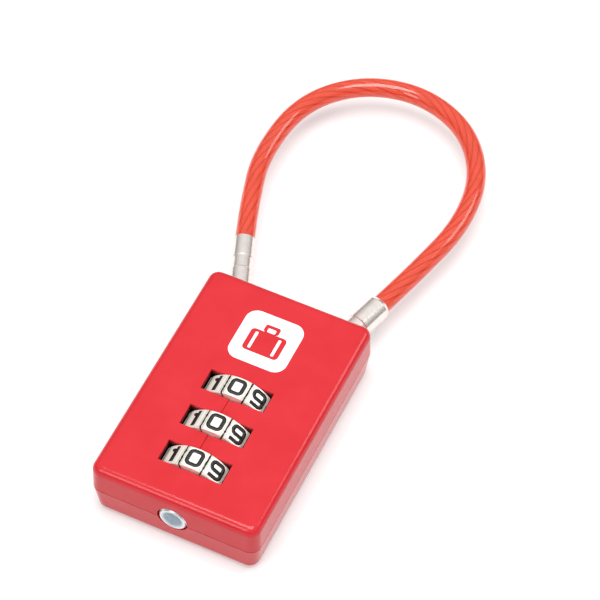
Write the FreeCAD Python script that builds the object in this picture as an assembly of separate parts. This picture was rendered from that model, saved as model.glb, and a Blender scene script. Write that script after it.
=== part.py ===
"""A three-dial cable luggage lock, lying on its back.

Frame: X across the casing, Y along it towards the cable, Z up through the dials.
The origin is the centre of the casing's flat rear face. Millimetres.

The casing is two drafted shells that part at the cable's height. Three dials turn on
toothed code sleeves about one spindle along Y. Each sleeve has a flange with a gate.
When the three gates line up with the spindle's fins, the button pushes the spindle
towards the cable, its wedge draws the latch aside, and the ejector lifts the release
ferrule out of its socket. The other ferrule is trapped between the shells.
"""

import FreeCAD
import Part
import math
import os

Vector = FreeCAD.Vector

# ---- Casing
casing_width = 35.0  # at the parting line
casing_length = 52.8  # at the parting line
casing_thickness = 13.8
parting_height = 7.1
front_draft = 1.2  # degrees, each side
rear_draft = 5.9  # degrees, each side
plan_corner_radius = 2.2
front_edge_radius = 1.7
rear_edge_radius = 1.9
casing_wall = 1.5
cavity_corner_radius = 0.8
seam_groove_width = 0.16
seam_groove_depth = 0.25

# ---- Dials
dial_count = 3
digit_count = 10
dial_pitch = 8.95
bottom_dial_inset = 9.9  # from the casing's bottom end to the bottom dial's middle
dial_axis_height = 7.6
dial_radius = 7.6  # over the ribbed crests
dial_flat_depth = 0.14  # the digits' flats below the crests
dial_width = 4.55
dial_rim_chamfer = 0.3
dial_ribs = 3  # grooves in each ribbed zone
dial_rib_groove = 0.2
dial_rib_depth = 0.3
dial_rib_step = 3.2  # degrees between grooves
window_width = 13.3
window_length = 4.83
rear_window_width = 7.0  # the dials come through the rear face as far as flush
index_groove_width = 1.2
index_groove_depth = 0.35

# ---- Code sleeves
sleeve_radius = 4.0
sleeve_bore_radius = 3.1
flange_bore_gap = 0.2  # from the spindle
sleeve_end_gap = 0.25  # between neighbouring sleeves
lug_height = 0.9
lug_width = 1.0
lug_length = 3.4
notch_depth = 0.5  # under the lugs, into the dial's bore
flange_thickness = 1.0
gate_width = 1.7
detent_ring_radius = 4.5
detent_ring_width = 0.9
detent_ring_gap = 0.1  # from the dial's side
detent_depth = 0.4

# ---- Bulkheads that carry the sleeves
bulkhead_thickness = 2.0
bulkhead_half_width = 5.4

# ---- Spindle and button
spindle_radius = 1.6
fin_thickness = 1.0
fin_width = 1.3
fin_radius = 2.9
fin_gap = 0.25  # from a fin to the flange it passes
button_radius = 2.9
button_hole_radius = 3.15
button_thickness = 1.8
button_recess = 0.05  # below the casing's end
button_chamfer = 0.3
button_dish_radius = 2.25
button_dish_depth = 0.45
button_socket_depth = 1.0
button_boss_radius = 4.8
clip_groove_radius = 1.2
clip_radius = 2.5
clip_thickness = 0.5
clip_opening = 2.2
guide_plate_thickness = 1.0
guide_plate_half_width = 4.0
guide_plate_seat = 0.4  # depth of the grooves that hold it

# ---- Latch
latch_travel = 4.0
latch_top_inset = 5.3  # from the casing's top end to the latch's upper face
latch_thickness = 1.5
latch_low = 4.9
latch_high = 11.2
latch_tail_x = -6.0
latch_web = 1.7  # between the wedge's window and the end that holds the ferrule
nose_half_width = 2.0
nose_half_height = 1.5
nose_lead = 0.4  # how far the wedge's tip stands into the latch at rest
nose_root = 0.5  # behind the wedge's ramp
spindle_shoulder = 0.5  # round spindle left between the wedge and the guide plate
cradle_half_width = 5.4
cradle_side = 0.8
cradle_lip = 1.0

# ---- Cable, as points of its route: across the casing, and out from its top end
cable_diameter = 4.0
core_diameter = 2.4
core_tail = 4.0  # the steel core runs on past the sheath inside each ferrule
cable_route = [
    (-14.69, 7.00),
    (-17.20, 13.54),
    (-20.40, 22.70),
    (-23.60, 34.10),
    (-22.30, 49.90),
    (-13.80, 60.20),
    (-1.10, 63.80),
    (11.30, 59.50),
    (19.30, 48.90),
    (20.90, 35.10),
    (17.60, 21.10),
    (14.63, 10.57),
    (12.70, 3.85),
]

# ---- Fixed ferrule, distances along its axis from the casing's top end
fixed_radius = 2.25
fixed_length = 13.7
fixed_waist_radius = 2.1
fixed_waist = (5.6, 8.8)
fixed_neck_radius = 1.7
fixed_neck_start = 1.5
fixed_flange_radius = 2.4
fixed_flange_start = 3.0
fixed_flange_thickness = 1.2
fixed_sheath_stop = 7.4

# ---- Release ferrule, distances along its axis from the casing's top end
barrel_radius = 2.6
barrel_length = 10.1
barrel_chamfer = 0.7
barrel_seat = 0.8  # how far the barrel enters its counterbore
barrel_waist_radius = 2.42
barrel_waist = (1.7, 3.6)
shank_radius = 2.1
neck_radius = 1.55
neck_start = 5.0
collar_length = 1.6
collar_chamfer = 0.7
collar_play = 1.75  # from the latch to the collar when locked
release_travel = 11.5
release_sheath_stop = 3.9

# ---- Ejector
ejector_travel = 3.0
ejector_length = 2.5
ejector_chamfer = 0.2
ejector_spigot_radius = 1.0
ejector_spigot_length = 1.4
ejector_channel_end = 19.0
socket_half_width = 2.9
socket_end_wall = 1.2
socket_wall = 0.8

# ---- Coil springs
spring_wire = 0.4
spring_room = 0.35  # between the spindle and its spring
spindle_spring_turns = 7
latch_spring_turns = 8
latch_spring_length = 5.6
latch_spring_radius = 0.85
latch_spring_inset = 1.4  # from the latch's upper edge to the spring's axis
spring_stop_thickness = 1.2
ejector_spring_turns = 7
ejector_spring_radius = 1.5

# ---- Detent comb
comb_thickness = 0.25
comb_outer_x = 8.4
comb_finger_x = 5.6
comb_finger_width = 0.8
comb_finger_rise = 1.2  # above the dial axis
comb_nub_half_height = 0.62
comb_hole_radius = 0.6

# ---- Screws
screw_radius = 1.0
screw_head_radius = 1.9
screw_head_depth = 1.0
screw_length = 9.6
screw_drive_reach = 0.62  # of the head's radius
screw_boss_radius = 2.1
screw_bottom_inset = 5.0
screw_edge = 0.4  # from a screw's head to the rear face's rounded edge
screw_top_inset = 12.8
screw_drive_width = 0.5
screw_drive_depth = 0.45

# ---- Clearances
snug = 0.02  # between pieces fixed to each other
running = 0.05  # radial, on anything that turns or slides in a bore
sliding = 0.1  # beside a flat slider
free = 0.25  # round anything that must not rub
dial_room = 0.2  # round each dial in its pocket

# ---- Worked out from the above
top = casing_length / 2
bottom = -top
ceiling = casing_thickness - casing_wall
dial_ys = [bottom + bottom_dial_inset + dial_pitch * (dial_count - 1 - i) for i in range(dial_count)]
sleeve_length = dial_pitch - sleeve_end_gap
bulkhead_ys = [dial_ys[0] + dial_pitch / 2 - dial_pitch * i for i in range(dial_count + 1)]
button_travel = flange_thickness + fin_thickness + 2 * fin_gap
button_face = bottom + button_recess
cable_points = [(x, top + out) for x, out in cable_route]
latch_y1 = top - latch_top_inset
latch_y0 = latch_y1 - latch_thickness
ramp = latch_travel / button_travel
nose_tip = latch_y0 + nose_lead
ramp_length = 2 * nose_half_width / ramp
nose_base = nose_tip - ramp_length - nose_root
clip_y = bulkhead_ys[0] + bulkhead_thickness / 2 + free
guide_plate_y = nose_base - free - button_travel - spindle_shoulder - guide_plate_thickness
channel_radius = shank_radius + sliding
sheath_bore_radius = cable_diameter / 2 + snug


# ---- Plain shapes
def box(x0, y0, z0, x1, y1, z1):
    return Part.makeBox(x1 - x0, y1 - y0, z1 - z0, Vector(x0, y0, z0))


def fuse(shapes):
    whole = shapes[0]
    for shape in shapes[1:]:
        whole = whole.fuse(shape)
    return whole.removeSplitter()


def cut(shape, tools):
    for tool in tools:
        shape = shape.cut(tool)
    return shape


def turned(profile):
    """A solid turned about the Y axis from (distance along Y, radius) corners."""
    corners = [Vector(r, y, 0) for y, r in profile]
    wire = Part.makePolygon(corners + corners[:1])
    return Part.Face(wire).revolve(Vector(), Vector(0, 1, 0), 360)


def rod(y0, y1, radius):
    """A cylinder on the Y axis."""
    return Part.makeCylinder(radius, y1 - y0, Vector(0, y0, 0), Vector(0, 1, 0))


def on_dial_axis(shape):
    """A shape made about the Y axis, moved to the dials' axis."""
    shape.translate(Vector(0, 0, dial_axis_height))
    return shape


def spun(shape, angle):
    """A copy turned about the Y axis, in degrees."""
    copy = shape.copy()
    copy.rotate(Vector(), Vector(0, 1, 0), angle)
    return copy


def each_digit(shape, offset=0.0):
    """Copies of a shape at every digit, round the Y axis."""
    return [spun(shape, offset + 360.0 / digit_count * i) for i in range(digit_count)]


def prism(points, z0, z1):
    """A prism from (x, y) corners between two heights."""
    corners = [Vector(x, y, z0) for x, y in points]
    return Part.Face(Part.makePolygon(corners + corners[:1])).extrude(Vector(0, 0, z1 - z0))


def rounded_outline(width, length, radius, z):
    """A rounded rectangle centred on the Z axis."""
    x, y, r = width / 2, length / 2, radius
    edges = []
    for turn, (cx, cy) in enumerate([(x - r, y - r), (r - x, y - r), (r - x, r - y), (x - r, r - y)]):
        start = 90 * turn
        centre = Vector(cx, cy, z)
        edges.append(Part.makeCircle(r, centre, Vector(0, 0, 1), start, start + 90))
    lines = []
    for here, after in zip(edges, edges[1:] + edges[:1]):
        lines.append(here)
        lines.append(Part.makeLine(here.Vertexes[-1].Point, after.Vertexes[0].Point))
    return Part.Wire(Part.__sortEdges__(lines))


def outline_at(z, inset, radius):
    """The casing's outline at a height, drawn in by inset."""
    if z >= parting_height:
        lean = math.tan(math.radians(front_draft)) * (z - parting_height)
    else:
        lean = math.tan(math.radians(rear_draft)) * (parting_height - z)
    shrink = 2 * (lean + inset)
    return rounded_outline(casing_width - shrink, casing_length - shrink, radius, z)


def drafted(z0, z1, inset, radius):
    return Part.makeLoft([outline_at(z0, inset, radius), outline_at(z1, inset, radius)], True, True)


def flat_edges(shape, z):
    """The edges that lie wholly at a height."""
    return [e for e in shape.Edges if all(abs(v.Z - z) < 1e-6 for v in e.Vertexes)]


def coil(length, mean_radius, turns):
    """A coil spring about the Y axis from 0 to length, with its wire inside that length."""
    wire_radius = spring_wire / 2
    height = length - spring_wire
    helix = Part.makeHelix(height / turns, height, mean_radius)
    ring = Part.Wire(Part.makeCircle(wire_radius, Vector(mean_radius, 0, 0), Vector(0, 1, 0)))
    spring = Part.Wire(helix.Edges).makePipeShell([ring], True, True)
    spring.rotate(Vector(), Vector(1, 0, 0), -90)
    spring.translate(Vector(0, wire_radius, 0))
    return spring


# ---- The two ferrules' axes
class FerruleAxis:
    """A line in the parting plane through two points of the cable, met by the casing's top end."""

    def __init__(self, inner, outer):
        dx, dy = outer[0] - inner[0], outer[1] - inner[1]
        self.angle = math.atan2(dx, dy)
        self.exit_x = inner[0] - (inner[1] - top) * dx / dy

    def point(self, along, across=0.0):
        """A point along the axis from the casing's end, and to the right of it."""
        c, s = math.cos(self.angle), math.sin(self.angle)
        return self.exit_x + s * along + c * across, top + c * along - s * across

    def place(self, shape):
        """Moves a shape made about the Y axis, with the casing's end at 0, onto this axis."""
        shape.rotate(Vector(), Vector(0, 0, 1), -math.degrees(self.angle))
        shape.translate(Vector(self.exit_x, top, parting_height))
        return shape


fixed_axis = FerruleAxis(cable_points[0], cable_points[1])
release_axis = FerruleAxis(cable_points[-1], cable_points[-2])


def along_where(axis, y, across):
    """The distance along an axis at which a line beside it, on its left, reaches a height in Y."""
    return (y - top - math.sin(axis.angle) * across) / math.cos(axis.angle)


collar_start = -along_where(release_axis, latch_y0, shank_radius) + collar_play
ferrule_tip = collar_start + collar_length
ejector_face = ferrule_tip + sliding
neck_x = release_axis.point(along_where(release_axis, latch_y0, neck_radius), -neck_radius)[0]
latch_x1 = neck_x - sliding
latch_spring_height = latch_high - latch_spring_inset


# ---- Casing
def dial_pockets():
    """Room for each dial, cut into the rear shell's floor."""
    half = dial_width / 2 + free
    return [on_dial_axis(rod(y - half, y + half, dial_radius + dial_room)) for y in dial_ys]


def journal_bores():
    """Saddles for the sleeves, the spindle's two end bearings and the button's bore."""
    sleeves = rod(bulkhead_ys[-1], bulkhead_ys[0], sleeve_radius + running)
    spindle = rod(bottom, clip_y, spindle_radius + running)
    button = rod(bottom - 1, bulkhead_ys[-1] - bulkhead_thickness / 2, button_hole_radius)
    return [on_dial_axis(shape) for shape in (sleeves, spindle, button)]


def bulkheads(z0, z1):
    half = bulkhead_thickness / 2
    return [box(-bulkhead_half_width, y - half, z0, bulkhead_half_width, y + half, z1) for y in bulkhead_ys]


def button_boss(z0, z1):
    y1 = bulkhead_ys[-1]
    y0 = bottom + casing_wall / 2
    boss = on_dial_axis(rod(y0, y1, button_boss_radius))
    return boss.common(box(-casing_width, y0, z0, casing_width, y1, z1))


def socket_blocks(z0, z1):
    """Blocks round the fixed ferrule and round the release ferrule's channel."""
    blocks = []
    fixed_depth = fixed_flange_start + fixed_flange_thickness + socket_end_wall
    release_depth = ejector_channel_end + socket_end_wall
    wide = fixed_flange_radius + socket_wall
    start = casing_wall / 2
    for axis, depth, half in ((fixed_axis, fixed_depth, wide), (release_axis, release_depth, socket_half_width)):
        block = box(-half, -depth, z0 - parting_height, half, -start, z1 - parting_height)
        blocks.append(axis.place(block))
    return blocks


def fixed_socket():
    """The fixed ferrule's own inner shape, grown by the running clearance."""
    end = fixed_flange_start + fixed_flange_thickness + running
    profile = [
        (2.0, 0),
        (2.0, fixed_radius + running),
        (-fixed_neck_start, fixed_radius + running),
        (-fixed_neck_start, fixed_neck_radius + running),
        (-fixed_flange_start + running, fixed_neck_radius + running),
        (-fixed_flange_start + running, fixed_flange_radius + running),
        (-end, fixed_flange_radius + running),
        (-end, 0),
    ]
    return fixed_axis.place(turned(profile))


def release_socket():
    """The release ferrule's counterbore and the channel that it shares with the ejector."""
    profile = [
        (2.0, 0),
        (2.0, barrel_radius + free),
        (-barrel_seat - sliding, barrel_radius + free),
        (-barrel_seat - sliding, channel_radius),
        (-ejector_channel_end, channel_radius),
        (-ejector_channel_end, 0),
    ]
    return release_axis.place(turned(profile))


def latch_path():
    """Room for the latch where it crosses the release ferrule's block."""
    return box(
        nose_half_width,
        latch_y0 - sliding,
        latch_low - sliding,
        latch_x1 + shank_radius,
        latch_y1 + sliding,
        latch_high + sliding,
    )


def screw_places():
    flat_half = casing_width / 2 - parting_height * math.tan(math.radians(rear_draft)) - rear_edge_radius
    x = flat_half - screw_edge - screw_head_radius
    ys = (bottom + screw_bottom_inset, top - screw_top_inset)
    return [(side * x, y) for y in ys for side in (-1, 1)]


def screw_bosses(z0, z1):
    return [Part.makeCylinder(screw_boss_radius, z1 - z0, Vector(x, y, z0)) for x, y in screw_places()]


def screw_holes(radius, z0, z1):
    return [Part.makeCylinder(radius, z1 - z0, Vector(x, y, z0)) for x, y in screw_places()]


def screw_head_seats():
    """Countersinks in the rear face."""
    seats = []
    for x, y in screw_places():
        low = screw_head_radius + running
        high = screw_radius + running
        seats.append(Part.makeCone(low, high, screw_head_depth, Vector(x, y, 0)))
    return seats


def guide_plate_grooves():
    """Shallow grooves in floor and ceiling that hold the guide plate."""
    half = guide_plate_half_width + sliding
    y0, y1 = guide_plate_y - running, guide_plate_y + guide_plate_thickness + running
    low = casing_wall - guide_plate_seat
    return box(-half, y0, low, half, y1, ceiling + guide_plate_seat)


def latch_cradle():
    """The channel on the rear shell's floor that the latch slides in."""
    y0, y1 = latch_y0 - sliding, latch_y1 + sliding
    bed = latch_low - sliding
    block = box(-cradle_half_width, y0 - cradle_side, casing_wall / 2, cradle_half_width, y1 + cradle_side, bed + cradle_lip)
    return block.cut(box(-casing_width, y0, bed, casing_width, y1, casing_thickness))


def latch_keeper():
    """The pad under the front shell that keeps the latch down."""
    return box(-cradle_half_width, latch_y0, latch_high + sliding, cradle_half_width, latch_y1, ceiling + 0.5)


def spring_stop(grown=0.0):
    """The post that the latch spring pushes against."""
    x1 = latch_tail_x - latch_spring_length
    y0, y1 = latch_y0 - grown, latch_y1 - 0.4 + grown
    return box(x1 - spring_stop_thickness - grown, y0, casing_wall / 2, x1 + grown, y1, latch_high + grown)


def latch_spring_room():
    """Space round the latch spring, which lies close to the fixed ferrule's block."""
    x0, x1 = latch_tail_x - latch_spring_length, latch_tail_x
    y, z, half = (latch_y0 + latch_y1) / 2, latch_spring_height, latch_spring_radius + spring_wire
    return box(x0, y - half, z - half, x1, y + half, z + half)


def seam_groove():
    low, high = parting_height - seam_groove_width / 2, parting_height + seam_groove_width / 2
    outside = box(-casing_width, -casing_length, low, casing_width, casing_length, high)
    inner = rounded_outline(
        casing_width - 2 * seam_groove_depth,
        casing_length - 2 * seam_groove_depth,
        plan_corner_radius - seam_groove_depth,
        low,
    )
    return outside.cut(Part.Face(inner).extrude(Vector(0, 0, seam_groove_width)))


def windows():
    x, y = window_width / 2, window_length / 2
    return [box(-x, dy - y, parting_height, x, dy + y, casing_thickness + 1) for dy in dial_ys]


def rear_windows():
    """Openings in the rear face where the dials' pockets would leave the floor too thin."""
    x, y = rear_window_width / 2, dial_width / 2 + free
    return [box(-x, dy - y, -1, x, dy + y, casing_wall) for dy in dial_ys]


def index_grooves():
    """Shallow marks between neighbouring windows, in line with the digits to read."""
    half = index_groove_width / 2
    marks = []
    for above, below in zip(dial_ys, dial_ys[1:]):
        y0, y1 = below + window_length / 2 - 0.1, above - window_length / 2 + 0.1
        low = casing_thickness - index_groove_depth
        marks.append(box(-half, y0, low, half, y1, casing_thickness + 1))
    return marks


def rear_bulkhead_room():
    """The rear shell's bulkheads stand above the parting plane, up to the dials' axis."""
    half = bulkhead_thickness / 2 + snug
    wide = bulkhead_half_width + snug
    rooms = [box(-wide, y - half, parting_height - 1, wide, y + half, dial_axis_height) for y in bulkhead_ys]
    return Part.makeCompound(rooms)


def comb_pegs():
    return [Part.makeCylinder(comb_hole_radius - running, 1.0, Vector(x, y, casing_wall - 0.3)) for x, y in comb_holes()]


def rear_shell():
    outer = drafted(0, parting_height, 0, plan_corner_radius)
    outer = outer.makeFillet(rear_edge_radius, flat_edges(outer, 0))
    cavity = drafted(casing_wall, parting_height, casing_wall, cavity_corner_radius)
    low = casing_wall / 2
    adds = bulkheads(low, dial_axis_height - running)
    adds.append(button_boss(low, parting_height))
    adds += socket_blocks(low, parting_height)
    adds += screw_bosses(low, parting_height)
    adds += [latch_cradle(), spring_stop()]
    shell = fuse([outer.cut(cavity), fuse(adds).common(outer)])
    cuts = dial_pockets() + rear_windows() + journal_bores()
    cuts += [fixed_socket(), release_socket(), latch_path(), latch_spring_room()]
    cuts += [guide_plate_grooves(), seam_groove()]
    cuts += screw_holes(screw_radius + sliding, -1, parting_height + 1) + screw_head_seats()
    return fuse([cut(shell, cuts)] + comb_pegs())


def front_shell():
    outer = drafted(parting_height, casing_thickness, 0, plan_corner_radius)
    outer = outer.makeFillet(front_edge_radius, flat_edges(outer, casing_thickness))
    cavity = drafted(parting_height, ceiling, casing_wall, cavity_corner_radius)
    high = casing_thickness - casing_wall / 2
    adds = bulkheads(dial_axis_height + running, high)
    adds.append(button_boss(parting_height, high))
    adds += socket_blocks(parting_height, high)
    adds += screw_bosses(parting_height, high)
    adds.append(latch_keeper())
    shell = fuse([outer.cut(cavity), fuse(adds).common(outer)])
    cuts = windows() + index_grooves() + journal_bores()
    cuts += [fixed_socket(), release_socket(), latch_path(), latch_spring_room(), spring_stop(running)]
    cuts += [guide_plate_grooves(), seam_groove()]
    cuts += screw_holes(screw_radius + snug, parting_height - 1, screw_length + free)
    cuts.append(rear_bulkhead_room())
    return cut(shell, cuts)


def shell_screws():
    screws = []
    for x, y in screw_places():
        shank = Part.makeCylinder(screw_radius, screw_length - screw_head_depth, Vector(x, y, screw_head_depth))
        head = Part.makeCone(screw_head_radius, screw_radius, screw_head_depth, Vector(x, y, 0))
        screw = shank.fuse(head).removeSplitter()
        reach, half = screw_head_radius * screw_drive_reach, screw_drive_width / 2
        slot = box(x - reach, y - half, -1, x + reach, y + half, screw_drive_depth)
        cross = box(x - half, y - reach, -1, x + half, y + reach, screw_drive_depth)
        screws.append(cut(screw, [slot, cross]))
    return Part.makeCompound(screws)


# ---- Dials and sleeves
def dial(y):
    r, half, c = dial_radius, dial_width / 2, dial_rim_chamfer
    bore = sleeve_radius + running
    wheel = turned([(-half, bore), (-half, r - c), (c - half, r), (half - c, r), (half, r - c), (half, bore)])
    flat = dial_radius - dial_flat_depth
    wheel = cut(wheel, each_digit(box(-r, -half - 1, flat, r, half + 1, r + 1)))
    groove = box(-dial_rib_groove / 2, -half - 1, r - dial_rib_depth, dial_rib_groove / 2, half + 1, r + 1)
    between = 180.0 / digit_count
    offsets = [between + dial_rib_step * (k - (dial_ribs - 1) / 2) for k in range(dial_ribs)]
    for offset in offsets:
        wheel = wheel.cut(Part.makeCompound(each_digit(groove, offset)))
    w = lug_width / 2 + running
    notch = box(-w, -half - 1, bore - notch_depth, w, half + 1, sleeve_radius + lug_height + running)
    wheel = wheel.cut(Part.makeCompound(each_digit(notch)))
    wheel.translate(Vector(0, y, dial_axis_height))
    return wheel


def code_sleeve(y):
    half, f = sleeve_length / 2, flange_thickness / 2
    hole = spindle_radius + flange_bore_gap
    body = turned(
        [
            (-half, sleeve_bore_radius),
            (-half, sleeve_radius),
            (half, sleeve_radius),
            (half, sleeve_bore_radius),
            (f, sleeve_bore_radius),
            (f, hole),
            (-f, hole),
            (-f, sleeve_bore_radius),
        ]
    )
    lug = box(-lug_width / 2, -lug_length / 2, sleeve_radius - 0.3, lug_width / 2, lug_length / 2, sleeve_radius + lug_height)
    y0 = dial_width / 2 + detent_ring_gap
    ring = rod(y0, y0 + detent_ring_width, detent_ring_radius).cut(rod(y0, y0 + detent_ring_width, sleeve_radius - 0.3))
    r, d = detent_ring_radius, detent_depth
    corners = [Vector(x, y0 - 1, z) for x, z in ((-d - 0.3, r + 0.3), (0, r - d), (d + 0.3, r + 0.3))]
    notch = Part.Face(Part.makePolygon(corners + corners[:1])).extrude(Vector(0, detent_ring_width + 2, 0))
    ring = cut(ring, each_digit(notch, 90.0))
    gate = box(-gate_width / 2, -f - 1, -sleeve_bore_radius, gate_width / 2, f + 1, 0)
    flange_gate = gate.common(rod(-f - 1, f + 1, sleeve_bore_radius))
    sleeve = fuse([body] + each_digit(lug) + [ring]).cut(flange_gate)
    sleeve.translate(Vector(0, y, dial_axis_height))
    return sleeve


# ---- Spindle and button
def spindle():
    y0 = button_face + button_thickness - button_socket_depth
    shaft = rod(y0, nose_base + 0.1, spindle_radius)
    groove = rod(clip_y, clip_y + clip_thickness, spindle_radius + 1).cut(rod(clip_y - 1, clip_y + 2, clip_groove_radius))
    fins = []
    for y in dial_ys:
        middle = y - button_travel / 2
        half = fin_thickness / 2
        fins.append(box(-fin_width / 2, middle - half, -fin_radius, fin_width / 2, middle + half, -spindle_radius / 2))
    w, h = nose_half_width, nose_half_height
    nose = prism([(w, nose_base), (w, nose_tip), (-w, nose_tip - ramp_length), (-w, nose_base)], -h, h)
    return on_dial_axis(fuse([shaft.cut(groove)] + fins + [nose]))


def release_button():
    r, c, t = button_radius, button_chamfer, button_thickness
    profile = [
        (button_dish_depth, 0),
        (button_dish_depth * 0.55, button_dish_radius * 0.7),
        (0, button_dish_radius),
        (0, r - c),
        (c, r),
        (t, r),
        (t, spindle_radius),
        (t - button_socket_depth, spindle_radius),
        (t - button_socket_depth, 0),
    ]
    button = turned(profile)
    button.translate(Vector(0, button_face, 0))
    return on_dial_axis(button)


def retaining_clip():
    y0, y1 = clip_y + snug, clip_y + clip_thickness - snug
    ring = rod(y0, y1, clip_radius).cut(rod(y0, y1, clip_groove_radius + snug))
    mouth = box(-clip_opening / 2, y0 - 1, 0, clip_opening / 2, y1 + 1, clip_radius + 1)
    return on_dial_axis(ring.cut(mouth))


def spindle_spring():
    y0 = clip_y + clip_thickness + running
    spring = coil(guide_plate_y - running - y0, spindle_radius + spring_room + spring_wire / 2, spindle_spring_turns)
    spring.translate(Vector(0, y0, 0))
    return on_dial_axis(spring)


def guide_plate():
    half = guide_plate_half_width
    seat = guide_plate_seat - running
    y0, y1 = guide_plate_y, guide_plate_y + guide_plate_thickness
    plate = box(-half, y0, casing_wall - seat, half, y1, ceiling + seat)
    return plate.cut(on_dial_axis(rod(y0 - 1, y1 + 1, spindle_radius + running)))


# ---- Latch
def latch_plate():
    plate = box(latch_tail_x, latch_y0, latch_low, latch_x1, latch_y1, latch_high)

    def ramp_x(y):
        return nose_half_width - sliding - ramp * (nose_tip - y)

    y0, y1 = latch_y0 - 1, latch_y1 + 1
    right = latch_x1 - latch_web
    window = prism(
        [(ramp_x(y0), y0), (ramp_x(y1), y1), (right, y1), (right, y0)],
        dial_axis_height - nose_half_height - sliding,
        dial_axis_height + nose_half_height + sliding,
    )
    return plate.cut(window)


def latch_spring():
    spring = coil(latch_spring_length - 2 * running, latch_spring_radius, latch_spring_turns)
    spring.rotate(Vector(), Vector(0, 0, 1), 90)
    spring.translate(Vector(latch_tail_x - running, (latch_y0 + latch_y1) / 2, latch_spring_height))
    return spring


# ---- Cable ends
def release_ferrule():
    w0, w1 = barrel_waist
    c = barrel_chamfer
    profile = [
        (-ferrule_tip, 0),
        (-ferrule_tip, shank_radius - collar_chamfer),
        (collar_chamfer - ferrule_tip, shank_radius),
        (-collar_start, shank_radius),
        (-collar_start, neck_radius),
        (-neck_start, neck_radius),
        (-neck_start, shank_radius),
        (-barrel_seat, shank_radius),
        (-barrel_seat, barrel_radius),
        (w0, barrel_radius),
        (w0 + 0.2, barrel_waist_radius),
        (w1 - 0.2, barrel_waist_radius),
        (w1, barrel_radius),
        (barrel_length - c, barrel_radius),
        (barrel_length, barrel_radius - c * 0.6),
        (barrel_length, sheath_bore_radius),
        (release_sheath_stop, sheath_bore_radius),
        (release_sheath_stop, core_diameter / 2 + running),
        (release_sheath_stop - core_tail, core_diameter / 2 + running),
        (release_sheath_stop - core_tail, 0),
    ]
    return release_axis.place(turned(profile))


def fixed_ferrule():
    w0, w1 = fixed_waist
    end = fixed_flange_start + fixed_flange_thickness
    profile = [
        (-end, 0),
        (-end, fixed_flange_radius),
        (-fixed_flange_start, fixed_flange_radius),
        (-fixed_flange_start, fixed_neck_radius),
        (-fixed_neck_start, fixed_neck_radius),
        (-fixed_neck_start, fixed_radius),
        (w0, fixed_radius),
        (w0 + 0.25, fixed_waist_radius),
        (w1 - 0.25, fixed_waist_radius),
        (w1, fixed_radius),
        (fixed_length - 0.15, fixed_radius),
        (fixed_length, fixed_radius - 0.1),
        (fixed_length, sheath_bore_radius),
        (fixed_sheath_stop, sheath_bore_radius),
        (fixed_sheath_stop, core_diameter / 2 + running),
        (fixed_sheath_stop - core_tail, core_diameter / 2 + running),
        (fixed_sheath_stop - core_tail, 0),
    ]
    return fixed_axis.place(turned(profile))


def ejector():
    back = ejector_face + ejector_length
    profile = [
        (-ejector_face, 0),
        (-ejector_face, shank_radius - ejector_chamfer),
        (-ejector_face - ejector_chamfer, shank_radius),
        (-back, shank_radius),
        (-back, ejector_spigot_radius),
        (-back - ejector_spigot_length, ejector_spigot_radius),
        (-back - ejector_spigot_length, 0),
    ]
    return release_axis.place(turned(profile))


def ejector_spring():
    back = ejector_face + ejector_length
    spring = coil(ejector_channel_end - back - 2 * running, ejector_spring_radius, ejector_spring_turns)
    spring.translate(Vector(0, -ejector_channel_end + running, 0))
    return release_axis.place(spring)


# ---- Cable
def route(points):
    """Straight runs joined by tangent arcs, with each arc's radius and the whole length."""
    corners = [Vector(x, y, parting_height) for x, y in points]
    edges, radii, length = [], [], 0.0
    here = corners[0]
    for before, corner, after in zip(corners, corners[1:], corners[2:]):
        arrive, leave = (corner - before), (after - corner)
        reach = 0.45 * min(arrive.Length, leave.Length)
        a, b = arrive.normalize(), leave.normalize()
        half_turn = a.getAngle(b) / 2
        radius = reach / math.tan(half_turn)
        start, end = corner - a * reach, corner + b * reach
        inward = (b - a).normalize()
        middle = corner + inward * (radius / math.cos(half_turn) - radius)
        edges.append(Part.LineSegment(here, start).toShape())
        edges.append(Part.Arc(start, middle, end).toShape())
        length += (start - here).Length + radius * 2 * half_turn
        radii.append(radius)
        here = end
    edges.append(Part.LineSegment(here, corners[-1]).toShape())
    length += (corners[-1] - here).Length
    return Part.Wire(edges), radii, length


def tube(points, radius):
    """A round rod along a route."""
    path, radii, length = route(points)
    start, onward = Vector(*points[0], parting_height), Vector(*points[1], parting_height)
    ring = Part.Wire(Part.makeCircle(radius, start, onward - start))
    solid = path.makePipeShell([ring], True, False)
    return solid, radii, length


def longer(points, extra):
    """The same route with its two straight ends run on by extra."""

    def beyond(inner, outer):
        dx, dy = outer[0] - inner[0], outer[1] - inner[1]
        share = extra / math.hypot(dx, dy)
        return outer[0] + dx * share, outer[1] + dy * share

    return [beyond(points[1], points[0])] + points[1:-1] + [beyond(points[-2], points[-1])]


def cable_core():
    return tube(longer(cable_points, core_tail - 0.2), core_diameter / 2)[0]


def cable_sheath():
    solid, radii, length = tube(cable_points, cable_diameter / 2)
    ideal = math.pi * (cable_diameter / 2) ** 2 * length
    print("cable arc radii, mm:", [round(r, 1) for r in radii])
    print("cable length, mm: %.1f, solid rod volume over ideal: %.4f" % (length, solid.Volume / ideal))
    bore = tube(longer(cable_points, 1.0), core_diameter / 2 + snug)[0]
    return solid.cut(bore)


# ---- Detent comb
def comb_holes():
    x = (comb_finger_x + comb_outer_x) / 2 + 0.2
    return [(x, y) for y in bulkhead_ys[1:-1]]


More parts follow.
